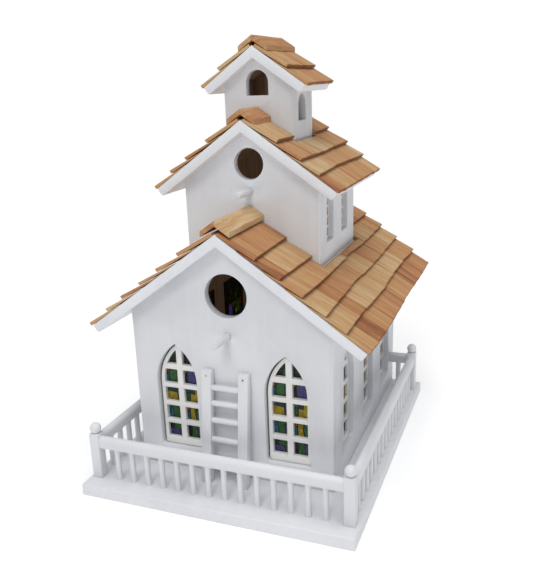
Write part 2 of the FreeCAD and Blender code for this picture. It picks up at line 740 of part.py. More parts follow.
def hinge_half(name, low, side, knuckles):
    """One leaf of a butt hinge with its knuckles, bored for the pin."""
    axis_x = "-door_half + door_gap / 2"
    axis_y = "hall_rear + axis_stand_off"
    reach = "knuckle_radius + web_stand_off"
    start = f"{axis_x} + {reach}" if side > 0 else f"{axis_x} - leaf_wide"
    leaf = primitive("Box", f"{name}_leaf", {
        "Length": f"leaf_wide - ({reach})", "Width": "leaf_thick", "Height": "hinge_tall",
        **place(start, "hall_rear", low)})
    solids = [leaf]
    for i, (a, b) in enumerate(knuckles):
        tall = f"({b} - {a}) * hinge_tall - knuckle_gap"
        base = f"{low} + {a} * hinge_tall + knuckle_gap / 2"
        solids.append(primitive("Cylinder", f"{name}_knuckle_{i}", {
            "Radius": "knuckle_radius", "Height": tall, **place(axis_x, axis_y, base)}))
        web_x = axis_x if side > 0 else f"{axis_x} - ({reach}) - web_lap"
        solids.append(primitive("Box", f"{name}_web_{i}", {
            "Length": f"{reach} + web_lap", "Width": "leaf_thick", "Height": tall,
            **place(web_x, "hall_rear + web_stand_off", base)}))
    fused = doc.addObject("Part::MultiFuse", f"{name}_fused")
    fused.Shapes = solids
    bore = primitive("Cylinder", f"{name}_bore", {
        "Radius": "hinge_bore_radius", "Height": "hinge_tall", **place(axis_x, axis_y, low)})
    half = doc.addObject("Part::Cut", f"{name}_half")
    half.Base = fused
    half.Tool = bore
    return half


def clean_out_door():
    """An inset door on two butt hinges, with a turned knob."""
    gap = "door_gap"
    door = across("clean_out_door", "hall_rear - wall", "hall_rear",
                  [rectangle(f"-door_half + {gap}", f"door_sill + {gap}",
                             f"door_half - {gap}", f"door_sill + door_tall - {gap}")])
    node(door)
    wall_halves = []
    door_halves = []
    pins = []
    for i in range(2):
        low = f"hinge_low + {i} * hinge_spacing"
        wall_halves.append(hinge_half(f"wall_hinge_{i}", low, -1, [(0, 0.3), (0.7, 1)]))
        door_halves.append(hinge_half(f"door_hinge_{i}", low, 1, [(0.3, 0.7)]))
        pins.append(primitive("Cylinder", f"hinge_pin_{i}", {
            "Radius": "hinge_pin_radius", "Height": "hinge_tall",
            **place("-door_half + door_gap / 2", "hall_rear + axis_stand_off", low)}))
    group("hinge_leaves_wall", wall_halves)
    group("hinge_leaves_door", door_halves)
    group("hinge_pins", pins)
    neck = primitive("Cylinder", "knob_stem", {
        "Radius": "knob_neck", "Height": "knob_reach - knob_radius",
        **place("door_half - knob_in", "hall_rear", "door_sill + door_tall / 2")})
    head = primitive("Sphere", "knob_head", {
        "Radius": "knob_radius",
        **place("door_half - knob_in", "hall_rear + knob_reach - knob_radius",
                "door_sill + door_tall / 2")})
    knob = doc.addObject("Part::Fuse", "door_knob")
    knob.Base = turned(neck, (1, 0, 0), -90)
    knob.Tool = head
    node(knob)


def turn_button():
    """A wooden bar on one screw beside the door, stored upright, clear of it."""
    x, z = "door_half + button_out", "door_sill + door_tall / 2"
    bar = across("turn_button", "hall_rear + button_clear",
                 "hall_rear + button_clear + button_thick",
                 [rectangle(f"{x} - button_wide / 2", f"{z} - button_long / 2",
                            f"{x} + button_wide / 2", f"{z} + button_long / 2")],
                 [(x, z, "button_bore_radius")])
    node(bar)
    pivot_screw("turn_button_screw", x, "hall_rear", z, "button_clear + button_thick")


def pivot_screw(name, x, wall_face, z, stack):
    """A round-headed screw whose plain shank carries a turning part."""
    shank = primitive("Cylinder", f"{name}_shank", {
        "Radius": "button_screw_radius", "Height": f"{stack} + 2 * screw_head_gap",
        **place(x, wall_face, z)})
    head = primitive("Sphere", f"{name}_head", {
        "Radius": "2 * button_screw_radius", "Angle1": "0",
        **place(x, f"{wall_face} + {stack} + screw_head_gap", z)})
    screw = doc.addObject("Part::Fuse", name)
    screw.Base = turned(shank, (1, 0, 0), -90)
    screw.Tool = turned(head, (1, 0, 0), -90)
    node(screw)


def tower_cover():
    """A pear-shaped plate that hangs over the tower's clean-out hole and swings on a screw."""
    low, high = size("cover_pivot_up"), size("cover_hole_up")
    small, big = size("cover_small"), size("cover_big")
    lean = math.asin((big - small) / (high - low))
    near = size("tower_rear") + size("button_clear")

    def rim(radius, up, angle):
        return FreeCAD.Vector(radius * math.cos(angle), near, up + radius * math.sin(angle))
    tangent = -lean
    right_low, right_high = rim(small, low, tangent), rim(big, high, tangent)
    left_low, left_high = rim(small, low, math.pi - tangent), rim(big, high, math.pi - tangent)
    edges = [Part.makeLine(right_low, right_high),
             Part.Arc(right_high, rim(big, high, math.pi / 2), left_high).toShape(),
             Part.makeLine(left_high, left_low),
             Part.Arc(left_low, rim(small, low, -math.pi / 2), right_low).toShape()]
    plate = Part.Face(Part.Wire(edges)).extrude(FreeCAD.Vector(0, size("cover_thick"), 0))
    bore = Part.makeCylinder(size("button_bore_radius"), 3 * size("cover_thick"),
                             FreeCAD.Vector(0, near - 1, low), FreeCAD.Vector(0, 1, 0))
    cover = doc.addObject("Part::Feature", "tower_cover")
    cover.Shape = plate.cut(bore)
    node(cover)
    pivot_screw("tower_cover_screw", "0", "tower_rear", "cover_pivot_up",
                "button_clear + cover_thick")


# ---------------------------------------------------------------- build, check and write

base_board()
corner_posts()
handrails()
balusters()
gable_walls()
side_walls()
tower_floor()
roof_boards()
shingles()
ridge_caps()
windows()
perches()
ladder()
clean_out_door()
turn_button()
tower_cover()
doc.recompute()

for thing in doc.Objects:
    if {"Invalid", "Error"} & set(thing.State):
        raise RuntimeError(f"{thing.Name} failed: {thing.State}")
os.makedirs("parts", exist_ok=True)
for thing in NODES:
    if thing.Shape.isNull() or not thing.Shape.isValid():
        raise RuntimeError(f"{thing.Label} has no valid shape")
    thing.Shape.exportStep(f"parts/{thing.Label}.step")
print(len(NODES), "nodes written")
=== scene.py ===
import json
import math
import random

import bpy
from mathutils import Matrix, Vector

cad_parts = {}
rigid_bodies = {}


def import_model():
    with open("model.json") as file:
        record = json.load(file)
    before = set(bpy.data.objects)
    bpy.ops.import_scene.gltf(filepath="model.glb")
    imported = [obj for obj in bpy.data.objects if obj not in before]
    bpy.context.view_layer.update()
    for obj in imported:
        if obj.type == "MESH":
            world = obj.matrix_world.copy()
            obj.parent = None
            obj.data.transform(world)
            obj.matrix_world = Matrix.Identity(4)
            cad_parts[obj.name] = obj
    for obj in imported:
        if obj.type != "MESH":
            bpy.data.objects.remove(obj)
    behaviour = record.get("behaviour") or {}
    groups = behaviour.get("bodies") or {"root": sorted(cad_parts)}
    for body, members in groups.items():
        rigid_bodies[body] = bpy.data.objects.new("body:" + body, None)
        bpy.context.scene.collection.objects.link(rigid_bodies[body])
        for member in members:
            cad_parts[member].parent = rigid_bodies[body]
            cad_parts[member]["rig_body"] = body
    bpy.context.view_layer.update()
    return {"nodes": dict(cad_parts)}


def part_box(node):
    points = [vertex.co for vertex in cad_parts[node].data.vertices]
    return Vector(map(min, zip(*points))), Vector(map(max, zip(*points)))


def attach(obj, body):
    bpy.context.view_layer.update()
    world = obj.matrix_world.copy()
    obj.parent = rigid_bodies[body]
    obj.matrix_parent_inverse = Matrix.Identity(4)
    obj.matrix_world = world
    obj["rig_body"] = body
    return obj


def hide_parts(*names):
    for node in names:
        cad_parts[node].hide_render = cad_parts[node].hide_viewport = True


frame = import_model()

# ---- Base board
# One piece of 12 mm exterior board with its edges rounded over, primed and painted satin white.
# Everything else is glued and pinned to its top.


def add(tree, kind, settings=None, **sockets):
    """A shader node with its sockets set or linked. Underscores stand for spaces."""
    node = tree.nodes.new(kind)
    for name, value in (settings or {}).items():
        setattr(node, name, value)
    for name, value in sockets.items():
        socket = node.inputs[int(name[1:]) if name[1:].isdigit() else name.replace("_", " ")]
        if isinstance(value, bpy.types.NodeSocket):
            tree.links.new(value, socket)
        else:
            socket.default_value = value
    return node


def ramp(tree, factor, stops):
    """A colour ramp from (place, colour) stops."""
    node = add(tree, "ShaderNodeValToRGB", Fac=factor)
    band = node.color_ramp
    for place, colour in stops[1:-1]:
        band.elements.new(place)
    for element, (place, colour) in zip(band.elements, stops):
        element.position = place
        element.color = (*colour, 1)
    return node.outputs["Color"]


def satin_paint(name, shade, along, roughness=0.42):
    """Brushed white paint over wood whose grain runs along one axis and still telegraphs."""
    material = bpy.data.materials.new(name)
    material.use_nodes = True
    tree = material.node_tree
    shader = tree.nodes["Principled BSDF"]
    place = add(tree, "ShaderNodeTexCoord").outputs["Object"]
    stretch = [1.0, 1.0, 1.0]
    stretch[along] = 0.06
    drawn = add(tree, "ShaderNodeMapping", Vector=place, Scale=stretch).outputs["Vector"]
    grain = add(tree, "ShaderNodeTexNoise", Vector=drawn, Scale=520, Detail=5, Roughness=0.62)
    brush = add(tree, "ShaderNodeTexNoise", Vector=drawn, Scale=120, Detail=3, Distortion=0.4)
    mottle = add(tree, "ShaderNodeTexNoise", Vector=place, Scale=14, Detail=4, Roughness=0.55)
    peel = add(tree, "ShaderNodeTexNoise", Vector=place, Scale=1500, Detail=2)
    specks = add(tree, "ShaderNodeTexNoise", Vector=place, Scale=260, Detail=1)
    mixed = add(tree, "ShaderNodeMath", {"operation": "MULTIPLY_ADD"},
                _0=brush.outputs["Fac"], _1=0.35, _2=mottle.outputs["Fac"])
    darker = [c * k for c, k in zip(shade, (0.93, 0.93, 0.945))]
    lighter = [min(0.95, c * 1.035) for c in shade]
    tone = ramp(tree, mixed.outputs[0], [(0.42, darker), (0.67, shade), (0.92, lighter)])
    dust = ramp(tree, specks.outputs["Fac"], [(0.73, (0, 0, 0)), (0.79, (1, 1, 1))])
    dirty = [c * 0.93 for c in shade]
    coloured = add(tree, "ShaderNodeMix", {"data_type": "RGBA"}, Factor=dust)
    tree.links.new(tone, coloured.inputs[6])
    coloured.inputs[7].default_value = (*dirty, 1)
    tree.links.new(coloured.outputs[2], shader.inputs["Base Color"])
    rough = add(tree, "ShaderNodeMapRange", Value=brush.outputs["Fac"])
    rough.inputs["From Min"].default_value = 0.3
    rough.inputs["From Max"].default_value = 0.7
    rough.inputs["To Min"].default_value = roughness - 0.06
    rough.inputs["To Max"].default_value = roughness + 0.1
    tree.links.new(rough.outputs[0], shader.inputs["Roughness"])
    coarse = add(tree, "ShaderNodeBump", Strength=0.35, Distance=0.0004,
                 Height=grain.outputs["Fac"])
    waved = add(tree, "ShaderNodeBump", Strength=0.3, Distance=0.0005,
                Height=brush.outputs["Fac"], Normal=coarse.outputs["Normal"])
    fine = add(tree, "ShaderNodeBump", Strength=0.18, Distance=0.0002,
               Height=peel.outputs["Fac"], Normal=waved.outputs["Normal"])
    tree.links.new(fine.outputs["Normal"], shader.inputs["Normal"])
    shader.inputs["Specular IOR Level"].default_value = 0.4
    return material


def only(piece):
    """Makes one object the only selected and the active one."""
    bpy.ops.object.select_all(action="DESELECT")
    piece.select_set(True)
    bpy.context.view_layer.objects.active = piece


def pick_edges(piece, wanted):
    """Leaves edit mode's selection on the edges whose two ends pass a test."""
    only(piece)
    bpy.ops.object.mode_set(mode="EDIT")
    bpy.ops.mesh.select_mode(type="EDGE")
    bpy.ops.mesh.select_all(action="DESELECT")
    bpy.ops.object.mode_set(mode="OBJECT")
    points = piece.data.vertices
    for edge in piece.data.edges:
        a, b = (points[i].co for i in edge.vertices)
        edge.select = wanted(a, b)
    bpy.ops.object.mode_set(mode="EDIT")


def ease(piece, width, segments=2, angle=35):
    """Takes the sharpness off every corner by one width, and smooths the shading."""
    only(piece)
    if width:
        bevel = piece.modifiers.new("eased", "BEVEL")
        bevel.width = width
        bevel.segments = segments
        bevel.limit_method = "ANGLE"
        bevel.angle_limit = math.radians(angle)
        bpy.ops.object.modifier_apply(modifier=bevel.name)
    bpy.ops.object.shade_smooth_by_angle(angle=math.radians(angle))


def finished(piece, slot, body="house", *stands_for):
    """Says what body a piece rides on and hides the CAD pieces it stands for; its slot, the
    finish's name, is not used.
    """
    if stands_for:
        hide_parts(*stands_for)
    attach(piece, body)
    return piece


def copy_of(node):
    """A CAD piece's shape as one closed mesh with flat faces whole, ready to be worked."""
    source = frame["nodes"][node]
    piece = bpy.data.objects.new(f"{node}_worked", source.data.copy())
    bpy.context.collection.objects.link(piece)
    piece.data.materials.clear()
    only(piece)
    bpy.ops.mesh.customdata_custom_splitnormals_clear()
    bpy.ops.object.mode_set(mode="EDIT")
    bpy.ops.mesh.select_all(action="SELECT")
    bpy.ops.mesh.remove_doubles(threshold=0.00001)
    bpy.ops.mesh.dissolve_limited(angle_limit=math.radians(1))
    bpy.ops.object.mode_set(mode="OBJECT")
    return piece


def worked(node, finish, width, slot="white_paint", segments=2):
    """A CAD piece with its corners eased and its finish on, standing for that piece."""
    piece = copy_of(node)
    ease(piece, width, segments)
    piece.data.materials.append(finish)
    return finished(piece, slot, frame["nodes"][node]["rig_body"], node)


WHITE = (0.735, 0.745, 0.77)
paint_along_y = satin_paint("satin_white_grain_along_depth", WHITE, 1)
worked("base_board", paint_along_y, 0)

# ---- Railing
# Turned dowels stand between the board and a round-topped rail; a square post with a ball on
# it stands at each corner. All of it is painted white before the walls go on.

paint_along_x = satin_paint("satin_white_grain_along_width", WHITE, 0)
paint_upright = satin_paint("satin_white_grain_upright", WHITE, 2)
worked("railing_posts", paint_upright, 0.0006)
worked("rail_front", paint_along_x, 0.0004)
worked("rails_rear", paint_along_x, 0.0004)
worked("rail_left", paint_along_y, 0.0004)
worked("rail_right", paint_along_y, 0.0004)


def joined(pieces, name):
    """Joins objects into the first of them, under a new name."""
    only(pieces[0])
    for piece in pieces:
        piece.select_set(True)
    bpy.ops.object.join()
    whole = bpy.context.object
    whole.name = name
    return whole


POST_MIDDLE = 0.0054
BALL_SEAT = 0.93


def turned_ball(x, y, foot, radius):
    """A turned ball, cut flat at its foot, with a small flat where it was held in the lathe."""
    bpy.ops.mesh.primitive_uv_sphere_add(segments=28, ring_count=18, radius=radius,
                                         location=(x, y, foot + radius * BALL_SEAT))
    ball = bpy.context.object
    bpy.ops.object.transform_apply(location=True, rotation=True, scale=True)
    bpy.ops.object.mode_set(mode="EDIT")
    bpy.ops.mesh.select_all(action="SELECT")
    bpy.ops.mesh.bisect(plane_co=(x, y, foot), plane_no=(0, 0, 1), clear_inner=True,
                        use_fill=True)
    bpy.ops.mesh.select_all(action="SELECT")
    bpy.ops.mesh.bisect(plane_co=(x, y, foot + radius * 1.9), plane_no=(0, 0, 1),
                        clear_outer=True, use_fill=True)
    bpy.ops.object.mode_set(mode="OBJECT")
    ease(ball, 0.0003, 2, 25)
    bpy.ops.object.shade_smooth_by_angle(angle=math.radians(40))
    return ball


post_low, post_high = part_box("railing_posts")
balls_low, balls_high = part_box("post_balls")
ball_radius = (balls_high.z - post_high.z) / (1 + BALL_SEAT)
balls = []
for x in (post_low.x + POST_MIDDLE, post_high.x - POST_MIDDLE):
    for y in (post_low.y + POST_MIDDLE, post_high.y - POST_MIDDLE):
        balls.append(turned_ball(x, y, post_high.z - 0.0002, ball_radius))
post_balls = joined(balls, "post_balls_turned")
post_balls.data.materials.append(paint_upright)
finished(post_balls, "white_paint", "house", "post_balls")


DOWEL = 0.003


def dowel_blank(foot, head):
    """One baluster: a dowel with paint gathered in a small fillet at its foot and head."""
    bpy.ops.mesh.primitive_cylinder_add(vertices=18, radius=DOWEL, depth=head - foot,
                                        location=(0, 0, (head + foot) / 2))
    dowel = bpy.context.object
    bpy.ops.object.transform_apply(location=True, rotation=True, scale=True)
    pick_edges(dowel, lambda a, b: abs(a.z - b.z) > 0.001)
    bpy.ops.mesh.subdivide(number_cuts=9)
    bpy.ops.object.mode_set(mode="OBJECT")
    for point in dowel.data.vertices:
        near = min(point.co.z - foot, head - point.co.z)
        swell = 1 + 0.16 * math.exp(-near / 0.0009)
        point.co.x *= swell
        point.co.y *= swell
    bpy.ops.object.shade_smooth_by_angle(angle=math.radians(40))
    return dowel


def stand_dowels(node, places):
    """Copies the dowel to each place with a small lean, and joins them as one set."""
    dice = random.Random(node)
    low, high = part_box(node)
    blank = dowel_blank(low.z, high.z)
    stood = []
    for x, y in places:
        dowel = bpy.data.objects.new(node, blank.data.copy())
        bpy.context.collection.objects.link(dowel)
        lean_x, lean_y = dice.uniform(-0.0003, 0.0003), dice.uniform(-0.0003, 0.0003)
        wide = dice.uniform(0.97, 1.02)
        spin = dice.uniform(0, math.tau)
        for point in dowel.data.vertices:
            up = (point.co.z - low.z) / (high.z - low.z) - 0.5
            px, py = point.co.x * wide, point.co.y * wide
            point.co.x = x + px * math.cos(spin) - py * math.sin(spin) + lean_x * up
            point.co.y = y + px * math.sin(spin) + py * math.cos(spin) + lean_y * up
        stood.append(dowel)
    bpy.data.objects.remove(blank)
    balusters = joined(stood, f"{node}_turned")
    balusters.data.materials.append(paint_upright)
    finished(balusters, "white_paint", "house", node)


FRONT_COUNT, SIDE_COUNT = 14, 16
FRONT_PITCH, SIDE_PITCH = 0.0172, 0.0175
front_low, front_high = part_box("balusters_front")
front_y = (front_low.y + front_high.y) / 2
stand_dowels("balusters_front", [((i - (FRONT_COUNT - 1) / 2) * FRONT_PITCH, front_y)
                                 for i in range(FRONT_COUNT)])
for side in ("left", "right"):
    low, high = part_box(f"balusters_{side}")
    outer = low.x + DOWEL if side == "left" else high.x - DOWEL
    inner = high.x - DOWEL if side == "left" else low.x + DOWEL
    rear = high.y - DOWEL
    spots = [(outer, (i - (SIDE_COUNT - 1) / 2) * SIDE_PITCH) for i in range(SIDE_COUNT)]
    stand_dowels(f"balusters_{side}", spots + [(inner, rear)])

# ---- Walls
# Nine-millimetre boards, butted and pinned into three gabled boxes. They are painted outside and
# in the reveals of the openings, and left as sawn wood inside, where the birds nest.


SAWN_PALE, SAWN_DEEP = (0.50, 0.34, 0.22), (0.30, 0.185, 0.115)
# Painted light: the bare wood shut inside the hall and tower, and under their roofs, is given this
# faint emission in its own colour, standing in for light bounced into the chambers.
CHAMBER_PAINTED_GLOW = 0.05


def sawn_wood(name, along, painted_glow=0.0):
    """Unpainted board with straight grain along one axis, faintly self-lit where it is shut in:
    painted light standing in for light bounced into the chambers.
    """
    material = bpy.data.materials.new(name)
    material.use_nodes = True
    tree = material.node_tree
    shader = tree.nodes["Principled BSDF"]
    place = add(tree, "ShaderNodeTexCoord").outputs["Object"]
    stretch = [1.0, 1.0, 1.0]
    stretch[along] = 0.05
    drawn = add(tree, "ShaderNodeMapping", Vector=place, Scale=stretch).outputs["Vector"]
    bands = add(tree, "ShaderNodeTexNoise", Vector=drawn, Scale=150, Detail=6, Distortion=0.5)
    fibres = add(tree, "ShaderNodeTexNoise", Vector=drawn, Scale=900, Detail=3)
    mixed = add(tree, "ShaderNodeMath", {"operation": "MULTIPLY_ADD"},
                _0=fibres.outputs["Fac"], _1=0.4, _2=bands.outputs["Fac"])
    middle = [(a + b) / 2 for a, b in zip(SAWN_PALE, SAWN_DEEP)]
    colour = ramp(tree, mixed.outputs[0], [(0.45, SAWN_DEEP), (0.68, middle),
                                           (0.9, SAWN_PALE)])
    tree.links.new(colour, shader.inputs["Base Color"])
    bump = add(tree, "ShaderNodeBump", Strength=0.5, Distance=0.0004, Height=mixed.outputs[0])
    tree.links.new(bump.outputs["Normal"], shader.inputs["Normal"])
    shader.inputs["Roughness"].default_value = 0.8
    # Painted light: the emission in the wood's own colour stands in for light bounced into the
    # shut-in chambers.
    tree.links.new(colour, shader.inputs["Emission Color"])
    shader.inputs["Emission Strength"].default_value = painted_glow
    return material


sawn_upright = sawn_wood("sawn_board_upright", 2)
# The hall's and tower's inner boards carry the painted light; the open belfry's do not.
sawn_chamber = sawn_wood("sawn_chamber_board", 2, CHAMBER_PAINTED_GLOW)
# Painted light: the tower is the same white paint as the other walls, made lighter and cooler here
# to offset the shade under its eaves and the warm light thrown up from the cedar roof in front.
tower_paint_painted_light = satin_paint("tower_white_painted_light_upright", (0.80, 0.83, 0.875), 2)
HOLLOW_SIDE = {"front": (0, 1, 0), "rear": (0, -1, 0), "left": (1, 0, 0), "right": (-1, 0, 0)}


def round_sills(piece, sill, radius):
    """Rounds the two lower corners of every opening whose sill is at one height."""
    pick_edges(piece, lambda a, b: abs(a.z - sill) < 0.0006 and abs(b.z - sill) < 0.0006
               and 0.0015 < (a - b).length < 0.012)
    bpy.ops.mesh.bevel(offset=radius, segments=4, affect="EDGES", clamp_overlap=True)
    bpy.ops.object.mode_set(mode="OBJECT")


def wall_board(tier, side, width, sills=()):
    """One wall with its openings' corners rounded, painted outside and bare inside."""
    node = f"{tier}_{side}_wall"
    board = copy_of(node)
    for sill, radius in sills:
        round_sills(board, sill, radius)
    ease(board, width)
    # The tower's walls take the lighter copy of the white, which is painted light.
    board.data.materials.append(tower_paint_painted_light if tier == "tower" else paint_upright)
    board.data.materials.append(sawn_upright if tier == "belfry" else sawn_chamber)
    inward = Vector(HOLLOW_SIDE[side])
    for face in board.data.polygons:
        face.material_index = 1 if face.normal.dot(inward) > 0.97 and face.area > 4e-5 else 0
    return finished(board, "white_paint", "house", node)


HALL_SILL, TOWER_SILL = 0.0342, 0.2415
for tier, front_width, side_width, front_sills, side_sills in (
        ("hall", 0.0007, 0.0006, [(HALL_SILL, 0.0035)], [(HALL_SILL, 0.0035)]),
        ("tower", 0.0007, 0.0006, [], [(TOWER_SILL, 0.002)]),
        ("belfry", 0.0008, 0.0007, [], [])):
    wall_board(tier, "front", front_width, front_sills)
    wall_board(tier, "rear", 0.0006)
    wall_board(tier, "left", side_width, side_sills)
    wall_board(tier, "right", side_width, side_sills)

# ---- Floor of the upper chamber
# A thin bare board inside the tower that parts its nest from the hall's below.

# This bare board, and the roof boards' undersides inside the tiers, carry the same painted light.
sawn_deep = sawn_wood("sawn_board_along_depth", 1, CHAMBER_PAINTED_GLOW)
worked("tower_floor", sawn_deep, 0.0004, "bare_wood")

# ---- Window lattices
# Cut from thin board with four rows of panes under two pointed ones, painted, and dropped
# into the openings from inside, so that a dark line of clearance shows round each.

lattice_paint = satin_paint("lattice_white", (0.83, 0.82, 0.80), 2, 0.38)


def lattice(node, sill, radius, width, shrink, settle):
    """A lattice with its lower corners rounded, sitting a little small in its opening."""
    piece = copy_of(node)
    round_sills(piece, sill + 0.0003, radius)
    ease(piece, width)
    low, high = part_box(node)
    middle = (low + high) / 2
    for point in piece.data.vertices:
        point.co = Vector(m + (p - m) * s + d
                          for m, p, s, d in zip(middle, point.co, shrink, settle))
    piece.data.materials.append(lattice_paint)
    finished(piece, "white_paint", "house", node)


for side in ("left", "right"):
    lattice(f"front_lattice_{side}", HALL_SILL, 0.0032, 0.0004, (0.968, 1, 0.991),
            (0.0006, -0.0001, -0.0001))
    worked(f"hall_lattices_{side}", lattice_paint, 0.0004)
worked("tower_lattices", lattice_paint, 0.0003)

# ---- Coloured window sheets
# Thin sheets fixed behind the lattices, made up as leaded glass: crooked pieces of green,
# teal, amber, violet and orange held by dark lead, in the same pattern at every window.


def glass(name, colour):
    """One colour of streaky glass."""
    material = bpy.data.materials.new(name)
    material.use_nodes = True
    tree = material.node_tree
    shader = tree.nodes["Principled BSDF"]
    place = add(tree, "ShaderNodeTexCoord").outputs["Object"]
    streaks = add(tree, "ShaderNodeTexNoise", Vector=place, Scale=190, Detail=3, Distortion=1.6)
    thin = [min(1, c * 1.45 + 0.004) for c in colour]
    full = [c * 0.6 for c in colour]
    tint = ramp(tree, streaks.outputs["Fac"], [(0.35, full), (0.52, colour), (0.7, thin)])
    tree.links.new(tint, shader.inputs["Base Color"])
    seeds = add(tree, "ShaderNodeTexNoise", Vector=place, Scale=700, Detail=1)
    bump = add(tree, "ShaderNodeBump", Strength=0.2, Distance=0.0002,
               Height=seeds.outputs["Fac"])
    tree.links.new(bump.outputs["Normal"], shader.inputs["Normal"])
    shader.inputs["Roughness"].default_value = 0.3
    shader.inputs["Specular IOR Level"].default_value = 0.12
    shader.inputs["Transmission Weight"].default_value = 0.6
    return material


def lead_came(name):
    """Dull dark lead, a little paler where it has been rubbed."""
    material = bpy.data.materials.new(name)
    material.use_nodes = True
    tree = material.node_tree
    shader = tree.nodes["Principled BSDF"]
    place = add(tree, "ShaderNodeTexCoord").outputs["Object"]
    rubbed = add(tree, "ShaderNodeTexNoise", Vector=place, Scale=300, Detail=3)
    tint = ramp(tree, rubbed.outputs["Fac"], [(0.4, (0.006, 0.007, 0.008)),
                                              (0.75, (0.03, 0.032, 0.035))])
    tree.links.new(tint, shader.inputs["Base Color"])
    shader.inputs["Roughness"].default_value = 0.5
    return material


GLASSES = {"G": ("green_glass", (0.03, 0.20, 0.022)), "D": ("bottle_glass", (0.006, 0.036, 0.013)),
           "T": ("teal_glass", (0.015, 0.24, 0.36)), "Y": ("amber_glass", (0.60, 0.46, 0.008)),
           "P": ("violet_glass", (0.10, 0.085, 0.36)), "O": ("orange_glass", (0.50, 0.20, 0.01)),
           "K": ("smoke_glass", (0.012, 0.014, 0.022))}
PATTERN = ["KGDGDDGK", "KDGDDGDK", "KDDGDDGK", "KOGGYPPK", "KTGYDPPK", "KTDPTKYK", "KYYPGYYK",
           "KTGGOYGK", "KTGPTYGK", "KDGGKGPK", "KPPGKGPK", "KGTYGDGK"]
lead = lead_came("lead")
glasses = [glass(*GLASSES[letter]) for letter in GLASSES]
SHEET_WIDE, SHEET_THICK = 0.057, 0.0015
HALF_LEAD, LEAD_PROUD = 0.0008, 0.0003
WINDOW_HALF = 0.0235


def leaded_sheet(name, floor, head):
    """One sheet: a crooked net of pieces, each drawn in from its neighbours by the lead."""
    columns, rows = len(PATTERN[0]), len(PATTERN)
    bpy.ops.mesh.primitive_grid_add(x_subdivisions=columns, y_subdivisions=rows, size=1,
                                    location=(0, 0, 0))
    net = bpy.context.object
    net.name = name
    dice = random.Random("one pattern for all")
    for face in net.data.polygons:
        column = min(columns - 1, int((face.center.x + 0.5) * columns))
        row = min(rows - 1, int((0.5 - face.center.y) * rows))
        face.material_index = 1 + list(GLASSES).index(PATTERN[row][column])
    net.data.materials.append(lead)
    for tinted in glasses:
        net.data.materials.append(tinted)
    for point in net.data.vertices:
        edge = max(abs(point.co.x), abs(point.co.y)) > 0.499
        stray = (0, 0) if edge else (dice.uniform(-0.0016, 0.0016), dice.uniform(-0.0021, 0.0021))
        across = point.co.x * SHEET_WIDE + stray[0]
        height = floor + (point.co.y + 0.5) * (head - floor) + stray[1]
        point.co = (across, 0, height)
    shades = {}
    for face in net.data.polygons:
        for key in face.edge_keys:
            shades.setdefault(key, []).append(face.material_index)
    same = {frozenset(key) for key, pair in shades.items() if len(pair) == 2 and pair[0] == pair[1]}
    merged = {frozenset(tuple(round(c, 6) for c in net.data.vertices[i].co) for i in key)
              for key in same}
    pick_edges(net, lambda a, b: frozenset((tuple(round(c, 6) for c in a),
                                            tuple(round(c, 6) for c in b))) in merged)
    bpy.ops.mesh.dissolve_edges(use_verts=False)
    bpy.ops.mesh.select_mode(type="FACE")
    bpy.ops.mesh.select_all(action="SELECT")
    bpy.ops.mesh.inset(thickness=HALF_LEAD, use_individual=True)
    bpy.ops.object.mode_set(mode="OBJECT")
    for face in net.data.polygons:
        if not face.select:
            face.material_index = 0
    bpy.ops.object.mode_set(mode="EDIT")
    bpy.ops.transform.translate(value=(0, LEAD_PROUD, 0))
    bpy.ops.object.mode_set(mode="OBJECT")
    only(net)
    thickness = net.modifiers.new("thickness", "SOLIDIFY")
    thickness.thickness = SHEET_THICK
    thickness.offset = -1
    bpy.ops.object.modifier_apply(modifier=thickness.name)
    bpy.ops.object.mode_set(mode="EDIT")
    bpy.ops.mesh.select_all(action="SELECT")
    bpy.ops.mesh.normals_make_consistent(inside=False)
    bpy.ops.object.mode_set(mode="OBJECT")
    return net


def glaze(side, middles):
    """Places a sheet behind each of a wall's windows, and joins them."""
    node = f"stained_glass_{side}"
    low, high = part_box(node)
    sheets = []
    for middle in middles:
        sheet = leaded_sheet(f"{node}_{len(sheets)}", low.z, high.z)
        for point in sheet.data.vertices:
            across, deep, up = point.co
            if side == "front":
                point.co = (middle + across, low.y + deep, up)
            elif side == "right":
                point.co = (high.x - deep, middle + across, up)
            else:
                point.co = (low.x + deep, middle - across, up)
        sheets.append(sheet)
    finished(joined(sheets, f"{node}_leaded"), "stained_glass", "house", node)


front_windows = [sum(c.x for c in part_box(f"front_lattice_{side}")) / 2
                 for side in ("left", "right")]
glaze("front", front_windows)
for side in ("left", "right"):
    low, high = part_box(f"hall_lattices_{side}")
    first, last = low.y + WINDOW_HALF, high.y - WINDOW_HALF
    glaze(side, (first, (first + last) / 2, last))

# ---- Roof boards
# Two 9.5 mm boards to each roof, mitred at the ridge and painted before shingling. Their
# thick ends are the white barge boards of the gables; the eaves' lower arris is rubbed round.


def sharp_edges(piece, wanted, angle=35):
    """Picks the corners sharper than an angle whose ends pass a test."""
    beside = {}
    for face in piece.data.polygons:
        for key in face.edge_keys:
            beside.setdefault(key, []).append(face.normal.copy())
    corners = {key for key, normals in beside.items() if len(normals) == 2
               and normals[0].angle(normals[1], 0) > math.radians(angle)}
    places = [tuple(round(c, 6) for c in point.co) for point in piece.data.vertices]
    keep = {frozenset((places[a], places[b])) for a, b in corners}

    def sharp(a, b):
        ends = frozenset((tuple(round(c, 6) for c in a), tuple(round(c, 6) for c in b)))
        return ends in keep and wanted(a, b)

    pick_edges(piece, sharp)


